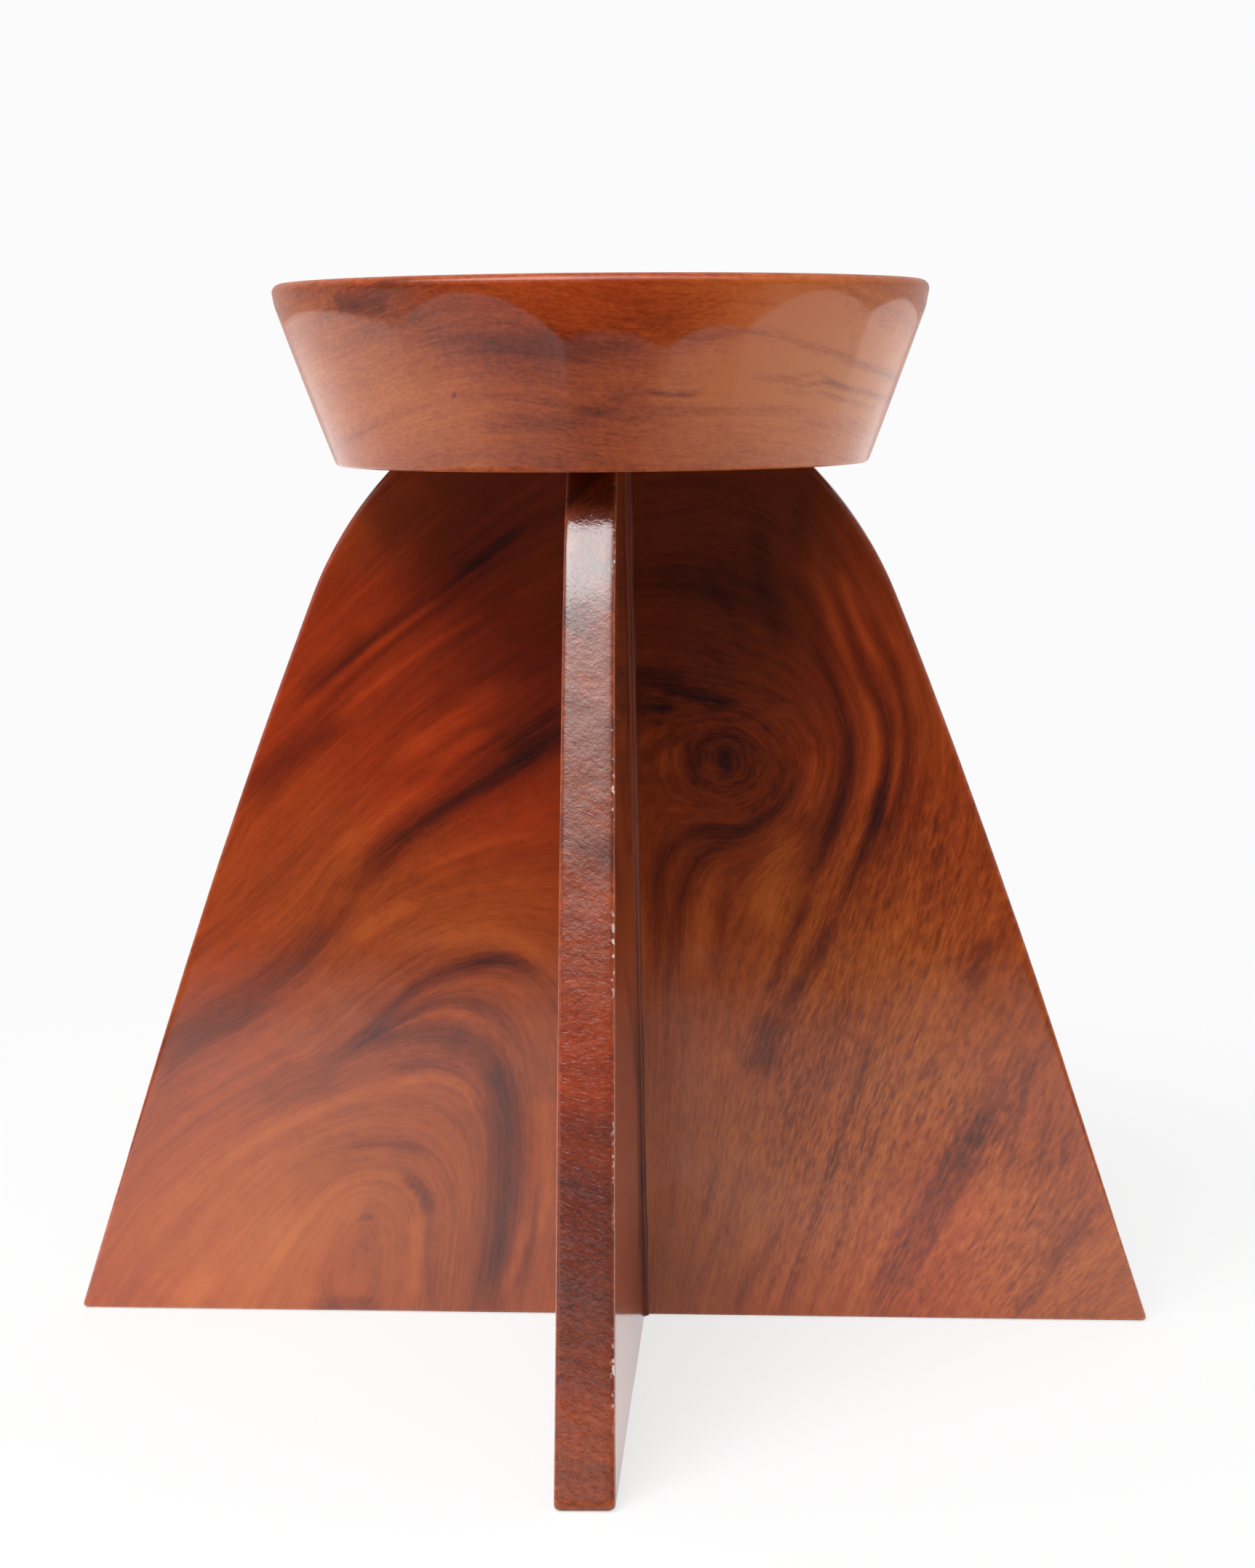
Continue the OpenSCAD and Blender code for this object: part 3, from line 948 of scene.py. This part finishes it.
class Surface(Shader):
    """Shader of a new material, with the surface that it starts with."""

    def __init__(self, name):
        self.material = bpy.data.materials.new(name)
        self.material.use_nodes = True
        super().__init__(self.material.node_tree)
        self.surface = self.tree.nodes["Principled BSDF"]

    def dress(self, inputs):
        for key, value in inputs.items():
            self.put(self.surface.inputs[key], value)


# Colour of the wood from its palest to its darkest tone, where it is yellower and where it is redder.
YELLOW_WOOD = (
    (0.0, (0.43, 0.135, 0.026)),
    (0.3, (0.30, 0.074, 0.012)),
    (0.55, (0.16, 0.031, 0.006)),
    (0.78, (0.072, 0.0125, 0.004)),
    (1.0, (0.024, 0.006, 0.005)),
)
RED_WOOD = (
    (0.0, (0.43, 0.066, 0.010)),
    (0.3, (0.29, 0.030, 0.005)),
    (0.55, (0.155, 0.0155, 0.003)),
    (0.78, (0.068, 0.0080, 0.003)),
    (1.0, (0.021, 0.004, 0.004)),
)
DOWEL_WOOD = ((0.3, (0.40, 0.25, 0.12)), (0.7, (0.58, 0.42, 0.24)))
# Near-white of the painted glints along the chipped arris.
GLINT_WHITE = (0.95, 0.90, 0.86, 1)
# Grain from coarse to fine: how quickly it changes across the growth lines, the scale, detail and
# roughness of its noise, and how far it swings the tone.
FINE_GRAIN = (1.4, 40, 3, 0.65)
GRAIN = (
    ((0.05, 9, 3, 0.5), 0.16),
    ((0.16, 7, 3, 0.6), 0.17),
    ((0.5, 14, 3, 0.6), 0.12),
    (FINE_GRAIN, 0.08),
    ((3.2, 60, 2, 0.6), 0.07),
    ((0.12, 95, 4, 0.6), 0.10),
)


def grain(s, quickness, scale, detail, roughness):
    """Noise that follows the growth lines, and changes this quickly from one to the next."""
    return s.noise(scale, detail, roughness, along=s.times(s.attribute("growth"), quickness))


def open_pores(s):
    """How open the pores of the wood are: 0 between them."""
    pores = grain(s, 1.9, 230, 2, 0.5)
    return s.times(s.math("SUBTRACT", pores, 0.60, clamp=True), 3.5)


def wood_tone(s, base, grit, pore):
    """Darkness of the wood: its ground, the listed streaks and patches, and the grain."""
    speckle = s.attribute("speckle")
    worn = s.attribute("worn")
    feather = s.math("MULTIPLY_ADD", grain(s, *FINE_GRAIN), 0.6, 0.24)
    gritty = s.swing(grain(s, 1.0, 400, 2, 0.5), grit)
    flecks = s.swing(grain(s, 0.7, 170, 2, 0.55), 0.5)
    scuffs = s.swing(s.noise(300, 3, 0.7), 0.5)
    return s.add(
        base,
        s.times(s.attribute("dark"), feather),
        # Patches and bands of darker or paler wood; those under the seat are partly painted shade.
        s.attribute("shade"),
        *[s.swing(grain(s, *kind), amount) for kind, amount in GRAIN],
        s.swing(s.noise(1300, 2), 0.06),
        s.times(s.attribute("peel"), gritty),
        s.times(flecks, speckle),
        s.times(pore, s.math("MULTIPLY_ADD", speckle, 0.35, 0.15)),
        s.times(worn, scuffs),
        s.times(worn, -0.04),
    )


def wood_colour(s, tone):
    """Yellower or redder wood of this tone, painted near-white as glints where the varnish is chipped."""
    drift = s.math("ADD", 0.5, s.swing(s.noise(11, 2), 0.4))
    tint = s.math("MULTIPLY_ADD", s.attribute("redness"), 0.5, drift, clamp=True)
    colour = s.mix(tint, s.ramp(tone, YELLOW_WOOD), s.ramp(tone, RED_WOOD))
    # Specks of painted glint along the chipped arris.
    glint_flecks = s.fade(s.noise(420, 2, 0.6), 0.54, 0.60)
    return s.mix(s.times(s.attribute("chips"), glint_flecks), colour, GLINT_WHITE)


def varnish_bump(s, pore):
    """Slight waves on the faces, and orange peel where the varnish is rougher."""
    height = s.add(
        s.noise(420, 2),
        s.times(s.noise(1000, 2), 0.5),
        s.times(s.noise(60, 2), 3.0),
        s.times(pore, -0.5),
    )
    return s.bump(height, 0.1 * MM, s.math("MULTIPLY_ADD", s.attribute("peel"), 0.85, 0.1))


def wood(name, base, grit, coat, coat_roughness):
    """Figured hardwood under varnish, with how dark its ground is and how gritty its rougher parts are."""
    s = Surface(name)
    pore = open_pores(s)
    bumps = varnish_bump(s, pore)
    haze = s.times(s.attribute("worn"), 0.12)
    s.dress({
        "Base Color": wood_colour(s, wood_tone(s, base, grit, pore)),
        "Roughness": s.add(0.38, s.swing(s.noise(220, 2), 0.06), haze),
        "Normal": bumps,
        "Coat Normal": bumps,
        "Specular IOR Level": 0.1,
        "Coat Weight": coat,
        "Coat IOR": 1.5,
        "Coat Roughness": coat_roughness,
    })
    return s.material


def bare_wood(name):
    """Pale wood without varnish, for the dowels."""
    s = Surface(name)
    lines = s.noise(60, 3, 0.6)
    s.dress({
        "Base Color": s.ramp(lines, DOWEL_WOOD),
        "Roughness": s.math("ADD", 0.6, s.swing(lines, 0.1)),
        "Normal": s.bump(lines, 0.2 * MM),
    })
    return s.material


# ---------- stage, light and camera

# White of the paper and of the studio as the camera sees them.
SEEN_WHITE = (0.965, 0.965, 0.965, 1)
# Light from ahead of the stool: sine of the height above the horizon, and how bright it is there.
FRONT_GLOW = (
    (0.0, 0.0), (0.02, 0.4), (0.14, 0.6), (0.24, 2.4), (0.29, 1.6), (0.33, 0.2), (0.44, 0.5),
    (0.50, 2.2), (0.57, 4.9), (0.64, 9.0), (0.74, 18.0),
)
FRONT_GLOW_MOST = max(glow for _, glow in FRONT_GLOW)
# Share of that light which reaches the wood other than as a reflection.
FRONT_SOFT_SHARE = 0.3


def set_camera():
    data = bpy.data.cameras.new("camera")
    data.lens = 66.85
    data.sensor_width = 36
    data.dof.use_dof = False
    cam = new_object("camera", data)
    yaw, pitch, roll = 0.065, 0.1418, 0.008
    cam.location = (0.0885, -1.2155, 0.4030)
    cam.rotation_mode = "QUATERNION"
    turned = (
        Matrix.Rotation(yaw, 3, "Z")
        @ Matrix.Rotation(math.pi / 2 - pitch, 3, "X")
        @ Matrix.Rotation(-roll, 3, "Z")
    )
    cam.rotation_quaternion = turned.to_quaternion()
    bpy.context.scene.camera = cam


def paper(name, white, glow):
    """Overlit paper, with painted shade that darkens it towards the front and in a strip through the stool.
    The camera sees it flat, with faint shadows.
    """
    s = Surface(name)
    split = s.node("ShaderNodeSeparateXYZ", {0: s.position()})
    x, y = split.outputs["X"], split.outputs["Y"]
    sideways = s.math("ABSOLUTE", s.math("SUBTRACT", x, 0.06))
    # Painted shadow: the paper's colour and glow are darker in a strip through the stool, most towards its
    # front.
    dip = s.math("MULTIPLY_ADD", s.fade(y, -0.32, -0.14), -0.28, 0.5)
    dip = s.times(dip, s.math("SUBTRACT", 1.0, s.fade(sideways, 0.0, 0.3)))
    lit = s.times(s.fade(y, -0.92, -0.42), s.math("SUBTRACT", 1.0, dip))
    spill = s.math("MULTIPLY_ADD", s.fade(sideways, 0.32, 0.6), 1.5 * glow, glow)
    s.dress({
        "Base Color": s.ramp(lit, ((0.0, (0, 0, 0)), (1.0, (white, white, white)))),
        "Roughness": 0.8,
        "Specular IOR Level": 0.0,
        "Emission Color": (1, 1, 1, 1),
        "Emission Strength": s.times(lit, spill),
    })
    flat = s.node("ShaderNodeEmission", {"Color": SEEN_WHITE})
    shaded = s.node("ShaderNodeBsdfDiffuse", {"Color": (0.74, 0.74, 0.74, 1)})
    away = s.node("ShaderNodeVectorMath", {0: s.position()}, operation="LENGTH").outputs["Value"]
    shade_share = s.math("MULTIPLY_ADD", s.fade(away, 0.35, 0.9), -0.28, 0.28)
    view = s.node("ShaderNodeMixShader", {0: shade_share, 1: flat.outputs[0], 2: shaded.outputs[0]})
    to_camera = s.node("ShaderNodeLightPath").outputs["Is Camera Ray"]
    both = s.node("ShaderNodeMixShader", {0: to_camera, 1: s.surface.outputs[0], 2: view.outputs[0]})
    s.put(s.tree.nodes["Material Output"].inputs["Surface"], both.outputs[0])
    return s.material


def flat_sheet(name, low, high, z, material):
    """Level sheet between two corners, which isn't part of the object."""
    mesh = bpy.data.meshes.new(name)
    corners = [(low[0], low[1], z), (high[0], low[1], z), (high[0], high[1], z), (low[0], high[1], z)]
    mesh.from_pydata(corners, [], [(0, 1, 2, 3)])
    mesh.materials.append(material)
    obj = new_object(name, mesh)
    return obj


def softbox(place, aim, size, power):
    """Lamp that reflections don't show."""
    data = bpy.data.lights.new("softbox", "AREA")
    data.shape = "RECTANGLE"
    data.size, data.size_y = size
    data.energy = power
    obj = new_object("softbox", data)
    obj.location = place
    obj.rotation_mode = "QUATERNION"
    obj.rotation_quaternion = (Vector(aim) - Vector(place)).to_track_quat("-Z", "Y")
    obj.visible_glossy = False


def set_world():
    """White to the camera. What lights the wood is bright behind and high up in front."""
    world = bpy.data.worlds.new("studio")
    bpy.context.scene.world = world
    world.use_nodes = True
    s = Shader(world.node_tree)
    s.tree.nodes.clear()
    direction = s.node("ShaderNodeTexCoord").outputs["Generated"]
    x, y, z = s.node("ShaderNodeSeparateXYZ", {0: direction}).outputs
    behind = s.math("MULTIPLY_ADD", s.fade(y, -0.55, 0.25), 0.87, 0.03)
    stops = [(height, (glow / FRONT_GLOW_MOST,) * 3) for height, glow in FRONT_GLOW]
    front = s.times(s.ramp(z, stops), FRONT_GLOW_MOST)
    ahead = s.math("SUBTRACT", 1.0, s.fade(y, -0.45, 0.0))
    left = s.math("MULTIPLY_ADD", s.fade(x, -0.3, 0.5), -0.65, 1.0)
    path = s.node("ShaderNodeLightPath").outputs
    share = s.math("MULTIPLY_ADD", path["Is Glossy Ray"], 1 - FRONT_SOFT_SHARE, FRONT_SOFT_SHARE)
    front = s.times(front, share)
    glow = s.math("MULTIPLY_ADD", front, s.times(ahead, left), behind)
    felt = s.node("ShaderNodeBackground", {"Strength": glow}).outputs[0]
    seen = s.node("ShaderNodeBackground", {"Color": SEEN_WHITE}).outputs[0]
    mix = s.node("ShaderNodeMixShader", {0: path["Is Camera Ray"], 1: felt, 2: seen}).outputs[0]
    s.node("ShaderNodeOutputWorld", {"Surface": mix})


def set_stage():
    flat_sheet("paper_sheet", (-1.7, -0.88), (1.7, 2.6), -0.0002, paper("paper", white=0.85, glow=0.5))
    ground = flat_sheet("far_floor", (-15, -15), (15, 15), -0.004, paper("far_paper", white=0.0, glow=0))
    ground.visible_diffuse = False
    ground.visible_glossy = False
    ground.visible_shadow = False
    softbox(place=(-0.35, -0.8, 1.5), aim=(0, 0, 0.25), size=(0.9, 0.7), power=16)
    set_world()
    bpy.context.scene.view_settings.view_transform = "Standard"


# ---------- the object

set_camera()
set_stage()

across = plank_across()
along = plank_along()
top = seat()
figure_plank(across, ACROSS_PLACE, upside_down=False, slant=(0.35, 0.5), edge_marked=False)
figure_plank(along, ALONG_PLACE, upside_down=True, slant=(0.9, 1.2), edge_marked=True)
figure_seat(top)

plank_wood = wood("plank_wood", base=0.385, grit=0.25, coat=0.95, coat_roughness=0.10)
seat_wood = wood("seat_wood", base=0.335, grit=0.45, coat=0.37, coat_roughness=0.17)
for obj, node, slot, material in (
    (across, "plank_across", "plank_wood", plank_wood),
    (along, "plank_along", "plank_wood", plank_wood),
    (top, "seat", "seat_wood", seat_wood),
):
    obj.data.materials.clear()
    obj.data.materials.append(material)
    smooth_by_angle(obj)
    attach(obj, "root")
    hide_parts(node)
bead_varnish = wood("bead_varnish", base=0.5, grit=0.25, coat=0.45, coat_roughness=0.4)
for side_x, side_name in ((-1, "left"), (1, "right")):
    for side_y, end_name in ((-1, "front"), (1, "back")):
        bead = corner_bead(f"corner_bead_{side_name}_{end_name}", side_x, side_y)
        figure_bead(bead)
        bead.data.materials.append(bead_varnish)
        smooth_by_angle(bead)
        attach(bead, "root")
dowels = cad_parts["seat_dowels"]
dowels.data.materials.clear()
dowels.data.materials.append(bare_wood("dowel_wood"))
